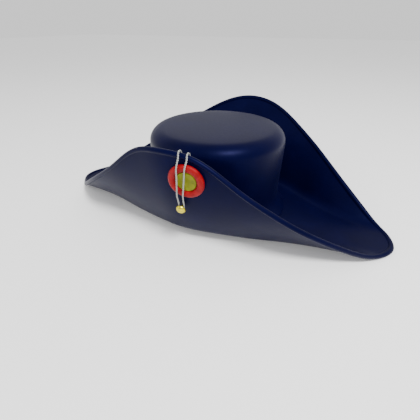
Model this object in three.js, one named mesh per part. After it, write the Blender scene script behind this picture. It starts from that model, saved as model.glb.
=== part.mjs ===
// A bicorne hat in navy felt: a round crown on a brim that is cocked up at the front and the back and
// runs out to a blunt point on each side. The brim's edge is rolled. On the front flap a cockade, a
// padded ring round a dished disc, is held by a doubled cord that hooks over the rolled edge and passes
// round the shank of a small button.
//
// Millimetres, +Z up. The front faces -Y and the points lie along X. The hat stands on the undersides of
// its two points, at z = 0, and the origin lies on that plane under the middle of the bounding box.
import * as THREE from "three";
import { mergeVertices } from "three/addons/utils/BufferGeometryUtils.js";

// Felt
const FELT = 3;
const EDGE_RADIUS = 3.4; // of the brim's rolled edge
const PIECE_GAP = 0.3; // between pieces that touch
const MID = FELT / 2;

// Crown
const HEAD_RADIUS = 92.3; // inside of the head opening, for a head 580 mm round
const CROWN_HEIGHT = 127;
const CROWN_SPREAD = 3.5; // how much wider the crown is at its top than above its hem
const CROWN_TOP_ROUND = 20;
const HEM_HEIGHT = 34;
const HEM_FLARE_SIDE = 17;
const HEM_FLARE_FRONT = 1.5;
const HEM_SLOPE = THREE.MathUtils.degToRad(60);

// Brim, measured to the middle of its rolled edge
const POINT_REACH = 258;
const FRONT_REACH = 144.5;
const BACK_REACH = 156;
const FLAP_HEIGHT = 136;
const FOOT_REACH = 109; // from the crown's axis to the crease at the foot of each flap
const FOOT_BEND = 12; // how far the bend at the crease runs each way
const BEND_OF_FLAT = 0.6; // the most of the flat and of the flap that it takes up where they are short
const BEND_OF_FLAP = 0.45;
// How far each flap is drawn in towards the crown, as a share of its height: the front one bulges outwards.
const FRONT_HOLLOW = -0.1;
const BACK_HOLLOW = 0.08;
const ARCH_RISE = 10.4; // how far the underside is raised in the middle
const ARCH_HALF_SPAN = 200; // past this the underside lies flat

// Cockade
const RING_RADIUS = 21.6;
const RING_THICKNESS = 5.6;
const RING_HOLE = 12.4;
const DISC_RADIUS = RING_HOLE - PIECE_GAP;
const DISC_EDGE = 3.4;
const DISC_MIDDLE = 2.4;
const DISC_RIM_ROUND = 0.5;
const COCKADE_X = 26.3;
const COCKADE_Z = 105;

// Button
const BUTTON_RADIUS = 5.8;
const BUTTON_DOME = 4.2;
const BUTTON_RIM = 0.8;
const SHANK_RADIUS = 1.5;
const BUTTON_X = 14.5;
const BUTTON_Z = 66;

// Cord
const CORD_RADIUS = 1.05;
const CORD_TOP_X = 25.5;
const CORD_TOP_SPACING = 9.2;
const TURN_RADIUS = SHANK_RADIUS + CORD_RADIUS + PIECE_GAP;
const CORD_AT_BUTTON = 4.4; // height of the cord over the felt where it passes round the shank
const CORD_OVER_RING = RING_THICKNESS + 3 * PIECE_GAP + CORD_RADIUS;
const BUTTON_UNDERSIDE = CORD_AT_BUTTON + CORD_RADIUS + PIECE_GAP;

// How finely the solids are faceted
const STATIONS_PER_ROW = 4;
const FLAT_STEPS = 4;
const BEND_STEPS = 3;
const FLAP_STEPS = 6;
const EDGE_STEPS = 6;
const CROWN_SIDES = 64;
const COCKADE_SIDES = 32;
const BUTTON_SIDES = 24;
const CORD_STEPS = 78;
const CORD_SIDES = 8;
const FLAT_CROWDING = 1.4; // above 1, the rows on the flat lie closer together by the head opening

// Half of the brim, from the middle of the front round one point to the middle of the back. edgeOut and
// footOut are shares of POINT_REACH, edgeReach of the front's or the back's reach, footReach of
// FOOT_REACH and edgeRise of FLAP_HEIGHT.
const sections = [
  { edgeOut: 0.0, edgeReach: -1.0, edgeRise: 1.0, footOut: 0.0, footReach: -1.0 },
  { edgeOut: 0.154, edgeReach: -0.961, edgeRise: 0.95, footOut: 0.137, footReach: -0.957 },
  { edgeOut: 0.377, edgeReach: -0.88, edgeRise: 0.658, footOut: 0.322, footReach: -0.826 },
  { edgeOut: 0.632, edgeReach: -0.72, edgeRise: 0.353, footOut: 0.545, footReach: -0.6 },
  { edgeOut: 0.95, edgeReach: -0.305, edgeRise: 0.0, footOut: 0.855, footReach: -0.35 },
  { edgeOut: 1.0, edgeReach: -0.137, edgeRise: 0.0, footOut: 0.895, footReach: -0.136 },
  { edgeOut: 0.957, edgeReach: 0.107, edgeRise: 0.0, footOut: 0.859, footReach: 0.117 },
  { edgeOut: 0.705, edgeReach: 0.42, edgeRise: 0.32, footOut: 0.605, footReach: 0.437 },
  { edgeOut: 0.441, edgeReach: 0.747, edgeRise: 0.653, footOut: 0.371, footReach: 0.758 },
  { edgeOut: 0.177, edgeReach: 0.972, edgeRise: 0.933, footOut: 0.153, footReach: 0.952 },
  { edgeOut: 0.0, edgeReach: 1.0, edgeRise: 1.0, footOut: 0.0, footReach: 1.0 },
];

// The height of the brim's underside, at x along the hat.
function archAt(x) {
  const share = Math.min(Math.abs(x) / ARCH_HALF_SPAN, 1);
  return (ARCH_RISE * (1 + Math.cos(Math.PI * share))) / 2;
}

function edgeOf(section) {
  const { edgeOut, edgeReach, edgeRise } = section;
  const reach = edgeReach < 0 ? FRONT_REACH : BACK_REACH;
  return new THREE.Vector3(edgeOut * POINT_REACH, edgeReach * reach, edgeRise * FLAP_HEIGHT);
}

function footOf(section) {
  return new THREE.Vector3(section.footOut * POINT_REACH, section.footReach * FOOT_REACH, 0);
}

// A closed line through one half's points and their mirror images.
function lineRound(half) {
  const others = half.slice(1, -1).reverse();
  const mirrored = others.map((p) => new THREE.Vector3(-p.x, p.y, p.z));
  return new THREE.CatmullRomCurve3([...half, ...mirrored], true, "centripetal");
}

const edgeLine = lineRound(sections.map(edgeOf));
const footLine = lineRound(sections.map(footOf));
const rowsRound = 2 * (sections.length - 1);

function between(a, b, share) {
  return new THREE.Vector3().lerpVectors(a, b, share);
}

function onArch(point) {
  return point.setZ(archAt(point.x) + MID);
}

// The rolled edge's middle, at share t of the way round the brim.
function edgeMiddle(t) {
  const edge = edgeLine.getPoint(t);
  return edge.setZ(Math.max(edge.z, EDGE_RADIUS + PIECE_GAP));
}

// A section of the brim at share t of the way round: from the head opening along the flat, round the bend
// at the foot and up the flap to the outside of the rolled edge, in the middle of the felt.
function sectionAt(t) {
  const foot = onArch(footLine.getPoint(t));
  const hole = onArch(new THREE.Vector3(foot.x, foot.y, 0).setLength(HEAD_RADIUS));
  const edge = edgeMiddle(t);
  const flat = foot.distanceTo(hole);
  const rise = edge.distanceTo(foot);
  const bendStart = onArch(between(foot, hole, Math.min(FOOT_BEND / flat, BEND_OF_FLAT)));
  const bendEnd = between(foot, edge, Math.min(FOOT_BEND / rise, BEND_OF_FLAP));
  const inward = new THREE.Vector3(-edge.x, -edge.y, 0).normalize();
  const drawnIn = (edge.y < 0 ? FRONT_HOLLOW : BACK_HOLLOW) * (edge.z - foot.z);
  const hollow = between(bendEnd, edge, 0.5).addScaledVector(inward, drawnIn);
  const outward = edge.clone().sub(hollow).normalize();
  const rim = edge.clone().addScaledVector(outward, EDGE_RADIUS);
  const bend = new THREE.QuadraticBezierCurve3(bendStart, foot, bendEnd);
  const flap = new THREE.QuadraticBezierCurve3(bendEnd, hollow, rim);
  return { hole, bendStart, bend, flap, edge, outward };
}

const AT = {
  flat: (section, share) => onArch(between(section.hole, section.bendStart, share)),
  bend: (section, share) => section.bend.getPoint(share),
  flap: (section, share) => section.flap.getPoint(share),
};

// The middle of the felt at a share of one part of a section, and the normal there towards the crown.
function onFelt(t, part, share) {
  const step = 1e-3;
  const here = sectionAt(t);
  const outward = AT[part](here, Math.min(1, share + step)).sub(AT[part](here, Math.max(0, share - step)));
  const round = AT[part](sectionAt(t + step), share).sub(AT[part](sectionAt(t - step), share));
  return { point: AT[part](here, share), normal: outward.cross(round).normalize() };
}

// Half the felt's thickness at a distance in from the outside of its edge: a bead that runs into the sheet.
function halfThickness(inset) {
  const bead = Math.sqrt(Math.max(0, EDGE_RADIUS ** 2 - (EDGE_RADIUS - inset) ** 2));
  return inset > EDGE_RADIUS ? Math.max(MID, bead) : bead;
}

// A section as a closed ring of points: along the upper side, round the rolled edge and back underneath.
function brimRing(t) {
  const section = sectionAt(t);
  const length = section.flap.getLength();
  const sheet = 1 - (2 * EDGE_RADIUS) / length;
  const rows = [];
  for (let i = 0; i < FLAT_STEPS; i++) rows.push(["flat", (i / FLAT_STEPS) ** FLAT_CROWDING, MID]);
  for (let i = 0; i < BEND_STEPS; i++) rows.push(["bend", i / BEND_STEPS, MID]);
  for (let i = 0; i < FLAP_STEPS; i++) rows.push(["flap", (sheet * i) / FLAP_STEPS, MID]);
  for (let i = 0; i < EDGE_STEPS; i++) {
    const inset = EDGE_RADIUS * (1 + Math.cos((Math.PI * i) / EDGE_STEPS));
    rows.push(["flap", 1 - inset / length, halfThickness(inset)]);
  }
  const over = [];
  const under = [];
  for (const [part, share, half] of rows) {
    const { point, normal } = onFelt(t, part, share);
    over.push(point.clone().addScaledVector(normal, half));
    under.push(point.clone().addScaledVector(normal, -half));
  }
  return [...over, section.flap.getPoint(1), ...under.reverse()];
}

// A solid from points and the triangles between them.
function solid(points, triangles) {
  const geometry = new THREE.BufferGeometry();
  geometry.setAttribute("position", new THREE.Float32BufferAttribute(points.flatMap((p) => p.toArray()), 3));
  geometry.setIndex(triangles);
  geometry.computeVertexNormals();
  return geometry;
}

function brim() {
  const count = rowsRound * STATIONS_PER_ROW;
  const rings = Array.from({ length: count }, (_, i) => brimRing(i / count));
  const across = rings[0].length;
  const triangles = [];
  for (let i = 0; i < count; i++) {
    const here = i * across;
    const next = ((i + 1) % count) * across;
    for (let j = 0; j < across; j++) {
      const k = (j + 1) % across;
      triangles.push(here + j, here + k, next + j);
      triangles.push(next + j, here + k, next + k);
    }
  }
  return solid(rings.flat(), triangles);
}

// The crown's skin at an angle round it, from near the middle of the top down to the hem. At inset 0 it
// is the outside, and at inset FELT the inside.
function crownSkin(angle, inset) {
  const TOP_STEPS = 2;
  const ROUND_STEPS = 5;
  const HEM_STEPS = 4;
  const waist = HEAD_RADIUS + FELT;
  const shoulder = waist + CROWN_SPREAD - CROWN_TOP_ROUND;
  const flare = THREE.MathUtils.lerp(HEM_FLARE_FRONT, HEM_FLARE_SIDE, Math.cos(angle) ** 2);
  const round = CROWN_TOP_ROUND - inset;
  const skin = [];
  const across = new THREE.Vector3(Math.cos(angle), Math.sin(angle), 0);
  const add = (radius, z) => skin.push(across.clone().multiplyScalar(radius).setZ(z));
  for (let i = 1; i <= TOP_STEPS; i++) add((shoulder * i) / TOP_STEPS, CROWN_HEIGHT - inset);
  for (let i = 1; i <= ROUND_STEPS; i++) {
    const turn = (Math.PI / 2) * (i / ROUND_STEPS);
    add(shoulder + round * Math.sin(turn), CROWN_HEIGHT - CROWN_TOP_ROUND + round * Math.cos(turn));
  }
  for (let i = 0; i <= HEM_STEPS; i++) {
    const turn = HEM_SLOPE * (i / HEM_STEPS);
    const out = (flare * (1 - Math.cos(turn))) / (1 - Math.cos(HEM_SLOPE));
    const outwards = (flare * Math.sin(turn)) / (1 - Math.cos(HEM_SLOPE));
    const downwards = (HEM_HEIGHT * Math.cos(turn)) / Math.sin(HEM_SLOPE);
    const radius = waist + out - inset * Math.hypot(1, outwards / downwards);
    const bottom = archAt(radius * Math.cos(angle)) + FELT + PIECE_GAP;
    add(radius, THREE.MathUtils.lerp(HEM_HEIGHT, bottom, Math.sin(turn) / Math.sin(HEM_SLOPE)));
  }
  return skin;
}

// A shell between the two skins, joined at the hem and closed at the top round two middle points.
function crown() {
  const columns = Array.from({ length: CROWN_SIDES }, (_, i) => {
    const angle = (2 * Math.PI * i) / CROWN_SIDES;
    return [...crownSkin(angle, 0), ...crownSkin(angle, FELT).reverse()];
  });
  const points = columns.flat();
  const topOutside = points.push(new THREE.Vector3(0, 0, CROWN_HEIGHT)) - 1;
  const topInside = points.push(new THREE.Vector3(0, 0, CROWN_HEIGHT - FELT)) - 1;
  const rows = columns[0].length;
  const triangles = [];
  for (let i = 0; i < CROWN_SIDES; i++) {
    const here = i * rows;
    const next = ((i + 1) % CROWN_SIDES) * rows;
    triangles.push(topOutside, here, next);
    triangles.push(topInside, next + rows - 1, here + rows - 1);
    for (let j = 0; j < rows - 1; j++) {
      triangles.push(here + j, here + j + 1, next + j);
      triangles.push(next + j, here + j + 1, next + j + 1);
    }
  }
  return solid(points, triangles);
}

// The front flap's outer face where it has a given x and z, and the normal there, away from the crown.
function onFront(x, z) {
  const outerFace = (t, share) => {
    const { point, normal } = onFelt(t, "flap", share);
    return point.addScaledVector(normal, -MID);
  };
  const step = 1e-4;
  // Newton's method on the two shares, from the middle of the flap.
  let t = x / (sections[1].edgeOut * POINT_REACH * rowsRound);
  let share = 0.5;
  for (let i = 0; i < 6; i++) {
    const here = outerFace(t, share);
    const byT = outerFace(t + step, share).sub(here).divideScalar(step);
    const byShare = outerFace(t, share + step).sub(here).divideScalar(step);
    const area = byT.x * byShare.z - byShare.x * byT.z;
    t += ((x - here.x) * byShare.z - byShare.x * (z - here.z)) / area;
    share += (byT.x * (z - here.z) - (x - here.x) * byT.z) / area;
    share = THREE.MathUtils.clamp(share, 0.01, 0.99);
  }
  return { point: outerFace(t, share), normal: onFelt(t, "flap", share).normal.negate() };
}

// A place on the front flap: side runs along X, up climbs the felt and out points away from the crown.
function seatAt(x, z) {
  const { point, normal } = onFront(x, z);
  const side = new THREE.Vector3().crossVectors(new THREE.Vector3(0, 0, 1), normal).normalize();
  const up = new THREE.Vector3().crossVectors(normal, side);
  return { point, side, up, out: normal };
}

// A geometry that stands on its XY plane, laid on the front flap round a seat so that it follows the felt.
function laidOn(seat, geometry) {
  const position = geometry.getAttribute("position");
  const local = new THREE.Vector3();
  for (let i = 0; i < position.count; i++) {
    local.fromBufferAttribute(position, i);
    const over = seat.point.clone().addScaledVector(seat.side, local.x).addScaledVector(seat.up, local.y);
    const { point, normal } = onFront(over.x, over.z);
    point.addScaledVector(normal, PIECE_GAP + local.z);
    position.setXYZ(i, point.x, point.y, point.z);
  }
  return geometry;
}

// Only the positions are kept, so that the corners of neighbouring faces join.
function joined(geometry) {
  geometry.deleteAttribute("normal");
  geometry.deleteAttribute("uv");
  const whole = mergeVertices(geometry, 1e-4);
  whole.computeVertexNormals();
  return whole;
}

// A solid turned round +Z from a profile of [radius, height].
function turned(profile, sides) {
  const outline = profile.map(([radius, height]) => new THREE.Vector2(radius, height));
  return joined(new THREE.LatheGeometry(outline, sides).rotateX(Math.PI / 2));
}

// The padded ring: a steep outside, a crest and a longer slope in towards the disc. The outline is in
// shares of the ring's width and height.
function cockadeRing() {
  const outline = [
    { across: 0, up: 0 },
    { across: 1, up: 0 },
    { across: 1, up: 0.42 },
    { across: 0.92, up: 0.74 },
    { across: 0.76, up: 0.94 },
    { across: 0.56, up: 1 },
    { across: 0.32, up: 0.93 },
    { across: 0.12, up: 0.76 },
    { across: 0, up: 0.5 },
    { across: 0, up: 0 },
  ];
  const width = RING_RADIUS - RING_HOLE;
  const profile = outline.map(({ across, up }) => [RING_HOLE + width * across, RING_THICKNESS * up]);
  return turned(profile, COCKADE_SIDES);
}

function cockadeDisc() {
  const dish = (share) => [DISC_RADIUS * share, THREE.MathUtils.lerp(DISC_MIDDLE, DISC_EDGE, share ** 2)];
  const rim = [DISC_RADIUS, DISC_EDGE - DISC_RIM_ROUND];
  return turned([[0, 0], [DISC_RADIUS, 0], rim, dish(0.94), dish(0.5), [0, DISC_MIDDLE]], COCKADE_SIDES);
}

// A domed head on a shank, with room under the head for the cord.
function button() {
  const DOME_STEPS = 5;
  const shank = [[0, 0], [SHANK_RADIUS, 0], [SHANK_RADIUS, BUTTON_UNDERSIDE]];
  const profile = [...shank, [BUTTON_RADIUS, BUTTON_UNDERSIDE]];
  for (let i = 0; i <= DOME_STEPS; i++) {
    const turn = (Math.PI / 2) * (i / DOME_STEPS);
    const height = BUTTON_UNDERSIDE + BUTTON_RIM + BUTTON_DOME * Math.sin(turn);
    profile.push([BUTTON_RADIUS * Math.cos(turn), height]);
  }
  profile[profile.length - 1][0] = 0;
  return turned(profile, BUTTON_SIDES);
}

// The share of the way round at which the front's edge has a given x.
function edgeShareAt(x) {
  let low = 0;
  let high = 2 / rowsRound;
  for (let i = 0; i < 24; i++) {
    const middle = (low + high) / 2;
    if (edgeMiddle(middle).x < x) low = middle;
    else high = middle;
  }
  return (low + high) / 2;
}

// One strand of the cord, from its end inside the flap, over the rolled edge and the cockade, down to the
// button. side is -1 for the strand nearer the middle of the hat and 1 for the other.
function strand(side) {
  const HOOK_STEPS = 6;
  const CREST = 0.85; // where the strand lies on the ring, as a share of the ring's radius
  const NECK = 1.3; // where the strands close in above the button, as a share of the button's radius
  const THIRDS = [0, 1 / 3, 2 / 3, 1];
  const topX = CORD_TOP_X + (side * CORD_TOP_SPACING) / 2;
  const lowX = BUTTON_X + side * TURN_RADIUS;
  const t = edgeShareAt(topX);
  const { edge, outward } = sectionAt(t);
  const inner = onFelt(t, "flap", 1).normal;
  const hook = EDGE_RADIUS + PIECE_GAP + CORD_RADIUS;
  const points = [];
  for (let i = 0; i <= HOOK_STEPS; i++) {
    const turn = Math.PI * (i / HOOK_STEPS);
    const place = edge.clone().addScaledVector(inner, hook * Math.cos(turn));
    points.push(place.addScaledVector(outward, hook * Math.sin(turn)));
  }
  const above = (z, height) => {
    const x = THREE.MathUtils.mapLinear(z, edge.z, BUTTON_Z, topX, lowX);
    const { point, normal } = onFront(x, z);
    return point.addScaledVector(normal, height);
  };
  // Pulled tight, the strand is straight between the two crests of the ring, and from there to the button.
  const upperCrest = above(COCKADE_Z + CREST * RING_RADIUS, CORD_OVER_RING);
  const lowerCrest = above(COCKADE_Z - CREST * RING_RADIUS, CORD_OVER_RING);
  const byButton = above(BUTTON_Z + NECK * BUTTON_RADIUS, CORD_AT_BUTTON + PIECE_GAP);
  for (const share of THIRDS) points.push(between(upperCrest, lowerCrest, share));
  for (const share of THIRDS.slice(1)) points.push(between(lowerCrest, byButton, share));
  points.push(above(BUTTON_Z, CORD_AT_BUTTON));
  return points;
}

// The whole cord: down one strand, round the shank of the button and up the other.
function cordPath() {
  const underShank = [-45, 0, 45].map((degrees) => {
    const turn = THREE.MathUtils.degToRad(degrees);
    const x = BUTTON_X + TURN_RADIUS * Math.sin(turn);
    const { point, normal } = onFront(x, BUTTON_Z - TURN_RADIUS * Math.cos(turn));
    return point.addScaledVector(normal, CORD_AT_BUTTON);
  });
  const path = [...strand(-1), ...underShank, ...strand(1).reverse()];
  return new THREE.CatmullRomCurve3(path, false, "centripetal");
}

function cord() {
  const round = Array.from({ length: CORD_SIDES }, (_, i) => {
    const turn = (2 * Math.PI * i) / CORD_SIDES;
    return new THREE.Vector2(CORD_RADIUS * Math.cos(turn), CORD_RADIUS * Math.sin(turn));
  });
  const options = { steps: CORD_STEPS, bevelEnabled: false, extrudePath: cordPath() };
  return joined(new THREE.ExtrudeGeometry(new THREE.Shape(round), options));
}

const navyFelt = new THREE.MeshStandardMaterial({ color: "#141440", roughness: 0.85 });
const redCloth = new THREE.MeshStandardMaterial({ color: "#c01e1e", roughness: 0.7 });
const yellowCloth = new THREE.MeshStandardMaterial({ color: "#a4a21e", roughness: 0.7 });
const silverCord = new THREE.MeshStandardMaterial({ color: "#b8b8b0", roughness: 0.5 });
const giltBrass = new THREE.MeshStandardMaterial({ color: "#d0bb20", roughness: 0.3, metalness: 0.9 });

const hat = new THREE.Group();

function addPiece(name, geometry, material) {
  const mesh = new THREE.Mesh(geometry, material);
  mesh.name = name;
  hat.add(mesh);
}

const cockadeSeat = seatAt(COCKADE_X, COCKADE_Z);
addPiece("crown", crown(), navyFelt);
addPiece("brim", brim(), navyFelt);
addPiece("cockade_ring", laidOn(cockadeSeat, cockadeRing()), redCloth);
addPiece("cockade_disc", laidOn(cockadeSeat, cockadeDisc()), yellowCloth);
addPiece("button", laidOn(seatAt(BUTTON_X, BUTTON_Z), button()), giltBrass);
addPiece("cord_loop", cord(), silverCord);

// The origin goes under the middle of the bounding box.
const bounds = new THREE.Box3().setFromObject(hat);
hat.position.y = -(bounds.min.y + bounds.max.y) / 2;

export default hat;
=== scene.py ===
"""The looks of a navy felt bicorne hat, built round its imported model.

Everything is in metres in the row's frame: +Z up, the front flap faces -Y and the two points lie along X.
"""
import math

import bmesh
import bpy
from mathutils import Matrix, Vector


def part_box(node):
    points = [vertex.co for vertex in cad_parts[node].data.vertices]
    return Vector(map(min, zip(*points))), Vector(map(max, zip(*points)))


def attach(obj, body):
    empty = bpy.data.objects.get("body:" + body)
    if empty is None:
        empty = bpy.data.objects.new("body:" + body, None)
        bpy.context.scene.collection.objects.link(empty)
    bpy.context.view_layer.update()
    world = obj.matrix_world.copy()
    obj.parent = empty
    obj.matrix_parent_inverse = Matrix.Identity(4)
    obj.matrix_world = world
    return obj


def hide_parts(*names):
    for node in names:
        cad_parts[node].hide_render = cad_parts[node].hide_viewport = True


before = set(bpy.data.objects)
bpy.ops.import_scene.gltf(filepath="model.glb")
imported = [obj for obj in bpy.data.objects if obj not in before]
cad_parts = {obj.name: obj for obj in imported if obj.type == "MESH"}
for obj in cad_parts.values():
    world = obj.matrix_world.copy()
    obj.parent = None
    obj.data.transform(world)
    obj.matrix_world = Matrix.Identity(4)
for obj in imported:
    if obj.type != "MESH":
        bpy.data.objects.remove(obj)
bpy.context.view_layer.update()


# Sizes and places

def middle_of(node):
    low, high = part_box(node)
    return (Vector(low) + Vector(high)) / 2


CROWN_AXIS = middle_of("crown")
DISC_CENTRE = middle_of("cockade_disc")

HEM_TOP = 0.0145  # the crown's hem is below this
HEM_UNEVENNESS = 0.001  # between neighbours along the hem's edge
HEM_LAP = 0.0006  # how far the shown hem reaches into the brim, so that no light shows between them
PLY_OFFSET = 0.00051  # from the middle of the cord to the middle of each of its two plies
PLY_RADIUS = 0.00054
PLY_PITCH = 0.005
PLEATS = 44
PLEAT_DEPTH = 0.00009

CAMERA_FROM_CROWN_AXIS = Vector((0.1772, -0.3947, 0.2521))
CAMERA_AZIMUTH = math.radians(25.65)
CAMERA_ELEVATION = math.radians(32.08)
CAMERA_LENS = 25.706
CAMERA_SENSOR = 36.0

# Each cloth's shade, middle and light, and the colour of its shine
FELT_TONES = ((0.0004, 0.0005, 0.012), (0.0006, 0.0007, 0.016), (0.0009, 0.0011, 0.021))
FELT_SHINE = (0.3, 0.32, 0.9)
RED_TONES = ((0.15, 0.0015, 0.003), (0.21, 0.002, 0.004), (0.28, 0.004, 0.007))
RED_SHINE = (1.0, 0.35, 0.35)
OLIVE_TONES = ((0.1, 0.11, 0.003), (0.14, 0.15, 0.004), (0.19, 0.2, 0.006))
OLIVE_SHINE = (1.0, 0.95, 0.45)
CORD_TONES = ((0.18, 0.18, 0.17), (0.42, 0.42, 0.39))
GILT_TONES = ((0.45, 0.37, 0.006), (0.72, 0.61, 0.02))


# Node helpers

def new_material(name, base_color, roughness):
    material = bpy.data.materials.new(name)
    material.use_nodes = True
    shader = material.node_tree.nodes["Principled BSDF"]
    shader.inputs["Base Color"].default_value = (*base_color, 1.0)
    shader.inputs["Roughness"].default_value = roughness
    return material, shader


def add_node(material, kind, **values):
    node = material.node_tree.nodes.new(kind)
    for name, value in values.items():
        setattr(node, name, value)
    return node


def join(material, source, target):
    material.node_tree.links.new(source, target)


def noise(material, scale, detail=3.0, roughness=0.5):
    """A noise in the object's own space, where one unit is a metre."""
    place = add_node(material, "ShaderNodeTexCoord")
    texture = add_node(material, "ShaderNodeTexNoise")
    texture.inputs["Scale"].default_value = scale
    texture.inputs["Detail"].default_value = detail
    texture.inputs["Roughness"].default_value = roughness
    join(material, place.outputs["Object"], texture.inputs["Vector"])
    return texture.outputs["Fac"]


def ramp(material, source, stops):
    """Maps a value to colours: stops are (position, colour)."""
    node = add_node(material, "ShaderNodeValToRGB")
    elements = node.color_ramp.elements
    while len(elements) < len(stops):
        elements.new(0.5)
    for element, (position, color) in zip(elements, stops):
        element.position = position
        element.color = (*color, 1.0)
    join(material, source, node.inputs["Fac"])
    return node.outputs["Color"]


def spread(material, source, low, high):
    """Maps a value from 0 to 1 to the range from low to high."""
    node = add_node(material, "ShaderNodeMapRange")
    node.inputs["To Min"].default_value = low
    node.inputs["To Max"].default_value = high
    join(material, source, node.inputs["Value"])
    return node.outputs["Result"]


def bump(material, shader, layers):
    """Chains bumps: layers are (height, strength, distance)."""
    normal = None
    for height, strength, distance in layers:
        node = add_node(material, "ShaderNodeBump")
        node.inputs["Strength"].default_value = strength
        node.inputs["Distance"].default_value = distance
        join(material, height, node.inputs["Height"])
        if normal is not None:
            join(material, normal, node.inputs["Normal"])
        normal = node.outputs["Normal"]
    join(material, normal, shader.inputs["Normal"])


# Materials

def felt_material():
    """Smooth wool felt: cloudy in its colour, with a short nap and fine fibres."""
    material, shader = new_material("navy_wool_felt", FELT_TONES[1], 0.39)
    cloudy = noise(material, 22.0, detail=4.0, roughness=0.6)
    stops = tuple(zip((0.25, 0.55, 0.8), FELT_TONES))
    join(material, ramp(material, cloudy, stops), shader.inputs["Base Color"])
    fibre = noise(material, 1500.0, detail=6.0, roughness=0.7)
    nap = noise(material, 260.0, detail=4.0, roughness=0.6)
    join(material, spread(material, nap, 0.34, 0.44), shader.inputs["Roughness"])
    shader.inputs["Specular IOR Level"].default_value = 0.09
    shader.inputs["Specular Tint"].default_value = (*FELT_SHINE, 1.0)
    shader.inputs["Sheen Weight"].default_value = 0.012
    shader.inputs["Sheen Roughness"].default_value = 0.45
    shader.inputs["Sheen Tint"].default_value = (*FELT_SHINE, 1.0)
    bump(material, shader, ((nap, 0.12, 0.0005), (fibre, 0.16, 0.0002)))
    return material


def cloth_material(name, tones, shine, roughness, weave=1900.0):
    """A satin cloth: fine crossed threads, a little mottling and a soft sheen."""
    material, shader = new_material(name, tones[1], roughness)
    mottle = noise(material, 160.0)
    stops = tuple(zip((0.3, 0.5, 0.72), tones))
    join(material, ramp(material, mottle, stops), shader.inputs["Base Color"])
    shader.inputs["Specular IOR Level"].default_value = 0.25
    shader.inputs["Specular Tint"].default_value = (*shine, 1.0)
    place = add_node(material, "ShaderNodeTexCoord")
    threads = []
    for direction in ("X", "Z"):
        wave = add_node(material, "ShaderNodeTexWave", bands_direction=direction)
        wave.inputs["Scale"].default_value = weave
        wave.inputs["Distortion"].default_value = 1.2
        join(material, place.outputs["Object"], wave.inputs["Vector"])
        threads.append(wave.outputs["Fac"])
    shader.inputs["Sheen Weight"].default_value = 0.12
    shader.inputs["Sheen Roughness"].default_value = 0.35
    shader.inputs["Sheen Tint"].default_value = (*tones[2], 1.0)
    layers = [(thread, 0.1, 0.00006) for thread in threads]
    bump(material, shader, [*layers, (noise(material, 420.0), 0.1, 0.0003)])
    return material


def cord_material():
    material, shader = new_material("silver_thread", CORD_TONES[1], 0.34)
    strands = noise(material, 2600.0, detail=4.0)
    stops = tuple(zip((0.3, 0.7), CORD_TONES))
    join(material, ramp(material, strands, stops), shader.inputs["Base Color"])
    shader.inputs["Metallic"].default_value = 0.35
    bump(material, shader, ((strands, 0.25, 0.00012),))
    return material


def gilt_material():
    material, shader = new_material("gilt_brass", GILT_TONES[1], 0.24)
    tarnish = noise(material, 500.0)
    stops = tuple(zip((0.3, 0.7), GILT_TONES))
    join(material, ramp(material, tarnish, stops), shader.inputs["Base Color"])
    shader.inputs["Metallic"].default_value = 0.75
    join(material, spread(material, tarnish, 0.18, 0.34), shader.inputs["Roughness"])
    bump(material, shader, ((noise(material, 1300.0), 0.06, 0.0001),))
    return material


# Mesh helpers

def node_mesh(node):
    """The CAD node's mesh as a joined bmesh in the row's frame."""
    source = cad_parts[node]
    mesh = bmesh.new()
    mesh.from_mesh(source.data)
    mesh.transform(source.matrix_world)
    bmesh.ops.remove_doubles(mesh, verts=mesh.verts, dist=1e-6)
    return mesh


def as_quads(mesh):
    bmesh.ops.join_triangles(
        mesh, faces=mesh.faces, angle_face_threshold=math.radians(50), angle_shape_threshold=math.radians(60)
    )


def add_piece(name, mesh, material, slot, *nodes):
    """Makes an object of a bmesh, which rides on the hat and stands for these CAD nodes."""
    data = bpy.data.meshes.new(name)
    mesh.to_mesh(data)
    mesh.free()
    piece = bpy.data.objects.new(name, data)
    bpy.context.scene.collection.objects.link(piece)
    data.polygons.foreach_set("use_smooth", [True] * len(data.polygons))
    data.materials.append(material)
    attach(piece, "root")
    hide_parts(*nodes)
    return piece


def subdivide(piece, levels):
    modifier = piece.modifiers.new("smooth", "SUBSURF")
    modifier.levels = levels
    modifier.render_levels = levels
    return piece


# The felt body

def build_crown(material):
    """The crown, with the lowest points of its hem let a little way into the brim."""
    mesh = node_mesh("crown")
    as_quads(mesh)
    for vertex in mesh.verts:
        neighbours = [edge.other_vert(vertex).co.z for edge in vertex.link_edges]
        if vertex.co.z < HEM_TOP and min(neighbours) > vertex.co.z - HEM_UNEVENNESS:
            vertex.co.z -= HEM_LAP
    subdivide(add_piece("crown_felt", mesh, material, "navy_felt", "crown"), 2)


def build_brim(material):
    mesh = node_mesh("brim")
    as_quads(mesh)
    subdivide(add_piece("brim_felt", mesh, material, "navy_felt", "brim"), 2)


# The cockade

def build_ring(material):
    mesh = node_mesh("cockade_ring")
    as_quads(mesh)
    ring = subdivide(add_piece("cockade_ring_cloth", mesh, material, "red_cloth", "cockade_ring"), 3)


def build_disc(material):
    """The dished disc, with fine pleats that run out from its middle."""
    mesh = node_mesh("cockade_disc")
    bmesh.ops.subdivide_edges(mesh, edges=mesh.edges, cuts=3, use_grid_fill=True, smooth=0.0)
    mesh.normal_update()
    radius = max((vertex.co - DISC_CENTRE).length for vertex in mesh.verts)
    for vertex in mesh.verts:
        offset = vertex.co - DISC_CENTRE
        angle = math.atan2(offset.z, offset.x)
        share = min(1.0, offset.length / radius)
        vertex.co += vertex.normal * PLEAT_DEPTH * share * math.cos(PLEATS * angle)
    subdivide(add_piece("cockade_disc_cloth", mesh, material, "yellow_cloth", "cockade_disc"), 1)


# The cord

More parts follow.
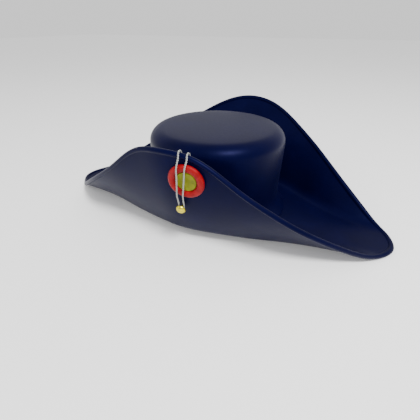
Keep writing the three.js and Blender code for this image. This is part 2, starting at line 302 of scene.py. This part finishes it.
def centre_line(node):
    """The middle line of a round solid with flat ends, found ring by ring from one end."""
    mesh = node_mesh(node)
    ends = {v for e in mesh.edges if e.calc_face_angle(0.0) > math.radians(70) for v in e.verts}
    first = {max(ends, key=lambda v: (v.co.y, -v.co.x))}
    while True:
        grown = first | {e.other_vert(v) for v in first for e in v.link_edges if e.other_vert(v) in ends}
        if grown == first:
            break
        first = grown
    seen = set(first)
    ring = first
    line = []
    while ring:
        line.append(sum((v.co for v in ring), Vector()) / len(ring))
        ring = {e.other_vert(v) for v in ring for e in v.link_edges} - seen
        seen |= ring
    mesh.free()
    return line


def resampled(line, step):
    """The same line with points at an even spacing."""
    points = [line[0]]
    carried = 0.0
    for start, end in zip(line, line[1:]):
        length = (end - start).length
        place = step - carried
        while place < length:
            points.append(start.lerp(end, place / length))
            place += step
        carried = (carried + length) % step
    return [*points, line[-1]]


def add_tube(mesh, points, radius, sides):
    """Adds a closed tube round the points, carrying one side direction along so that it doesn't turn."""
    side = Vector((0, 0, 1)).cross(points[1] - points[0]).normalized()
    rings = []
    for index, point in enumerate(points):
        ahead = points[min(index + 1, len(points) - 1)] - points[max(index - 1, 0)]
        ahead.normalize()
        side = (side - ahead * side.dot(ahead)).normalized()
        across = ahead.cross(side)
        turns = [2 * math.pi * k / sides for k in range(sides)]
        round_it = [point + radius * (side * math.cos(t) + across * math.sin(t)) for t in turns]
        rings.append([mesh.verts.new(place) for place in round_it])
    for near, far in zip(rings, rings[1:]):
        for k in range(sides):
            mesh.faces.new((near[k], near[(k + 1) % sides], far[(k + 1) % sides], far[k]))
    mesh.faces.new(list(reversed(rings[0])))
    mesh.faces.new(rings[-1])


def twisted(points, offset, pitch, phase):
    """A line that winds round the points."""
    side = Vector((0, 0, 1)).cross(points[1] - points[0]).normalized()
    travelled = 0.0
    wound = []
    for index, point in enumerate(points):
        ahead = points[min(index + 1, len(points) - 1)] - points[max(index - 1, 0)]
        ahead.normalize()
        side = (side - ahead * side.dot(ahead)).normalized()
        across = ahead.cross(side)
        turn = 2 * math.pi * travelled / pitch + phase
        wound.append(point + offset * (side * math.cos(turn) + across * math.sin(turn)))
        if index + 1 < len(points):
            travelled += (points[index + 1] - point).length
    return wound


def build_cord(material):
    points = resampled(centre_line("cord_loop"), 0.0005)
    mesh = bmesh.new()
    for phase in (0.0, math.pi):
        add_tube(mesh, twisted(points, PLY_OFFSET, PLY_PITCH, phase), PLY_RADIUS, 8)
    bmesh.ops.recalc_face_normals(mesh, faces=mesh.faces)
    add_piece("cord_loop_twisted", mesh, material, "silver_cord", "cord_loop")


# The button

def build_button(material):
    mesh = node_mesh("button")
    as_quads(mesh)
    subdivide(add_piece("button_gilt", mesh, material, "gilt_button", "button"), 2)


# The stage, the light and the camera

def build_floor():
    """A wide white floor, bright enough to run into the white behind it."""
    reach = 6.0
    corners = [(-reach, -reach, 0), (reach, -reach, 0), (reach, reach, 0), (-reach, reach, 0)]
    mesh = bpy.data.meshes.new("floor")
    mesh.from_pydata(corners, [], [(0, 1, 2, 3)])
    floor = bpy.data.objects.new("floor", mesh)
    bpy.context.scene.collection.objects.link(floor)
    material, shader = new_material("pale_floor", (0.9, 0.9, 0.9), 0.9)
    shader.inputs["Specular IOR Level"].default_value = 0.1
    shader.inputs["Emission Color"].default_value = (1.0, 1.0, 1.0, 1.0)
    shader.inputs["Emission Strength"].default_value = 0.15
    mesh.materials.append(material)


def add_area_light(name, place, target, size, power):
    light = bpy.data.lights.new(name, "AREA")
    light.shape = "DISK"
    light.size = size
    light.energy = power
    lamp = bpy.data.objects.new(name, light)
    lamp.location = place
    lamp.rotation_euler = (Vector(target) - Vector(place)).to_track_quat("-Z", "Y").to_euler()
    bpy.context.scene.collection.objects.link(lamp)


def build_light():
    world = bpy.data.worlds.new("studio")
    world.use_nodes = True
    background = world.node_tree.nodes["Background"]
    background.inputs["Color"].default_value = (1.0, 1.0, 1.0, 1.0)
    background.inputs["Strength"].default_value = 1.0
    bpy.context.scene.world = world
    target = (0.0, 0.0, 0.08)
    add_area_light("key", (0.75, -0.6, 1.4), target, size=0.45, power=40.0)
    add_area_light("fill", (-1.1, -0.9, 0.9), target, size=0.8, power=3.0)


def build_camera():
    azimuth, elevation = CAMERA_AZIMUTH, CAMERA_ELEVATION
    back = Vector((
        math.sin(azimuth) * math.cos(elevation),
        -math.cos(azimuth) * math.cos(elevation),
        math.sin(elevation),
    ))
    data = bpy.data.cameras.new("camera")
    data.lens = CAMERA_LENS
    data.sensor_width = CAMERA_SENSOR
    camera = bpy.data.objects.new("camera", data)
    camera.location = Vector((CROWN_AXIS.x, CROWN_AXIS.y, 0.0)) + CAMERA_FROM_CROWN_AXIS
    camera.rotation_euler = (-back).to_track_quat("-Z", "Y").to_euler()
    bpy.context.scene.collection.objects.link(camera)
    bpy.context.scene.camera = camera


build_camera()
build_light()
build_floor()

felt = felt_material()
build_crown(felt)
build_brim(felt)
build_ring(cloth_material("red_satin", RED_TONES, RED_SHINE, 0.45))
build_disc(cloth_material("olive_satin", OLIVE_TONES, OLIVE_SHINE, 0.48))
build_cord(cord_material())
build_button(gilt_material())
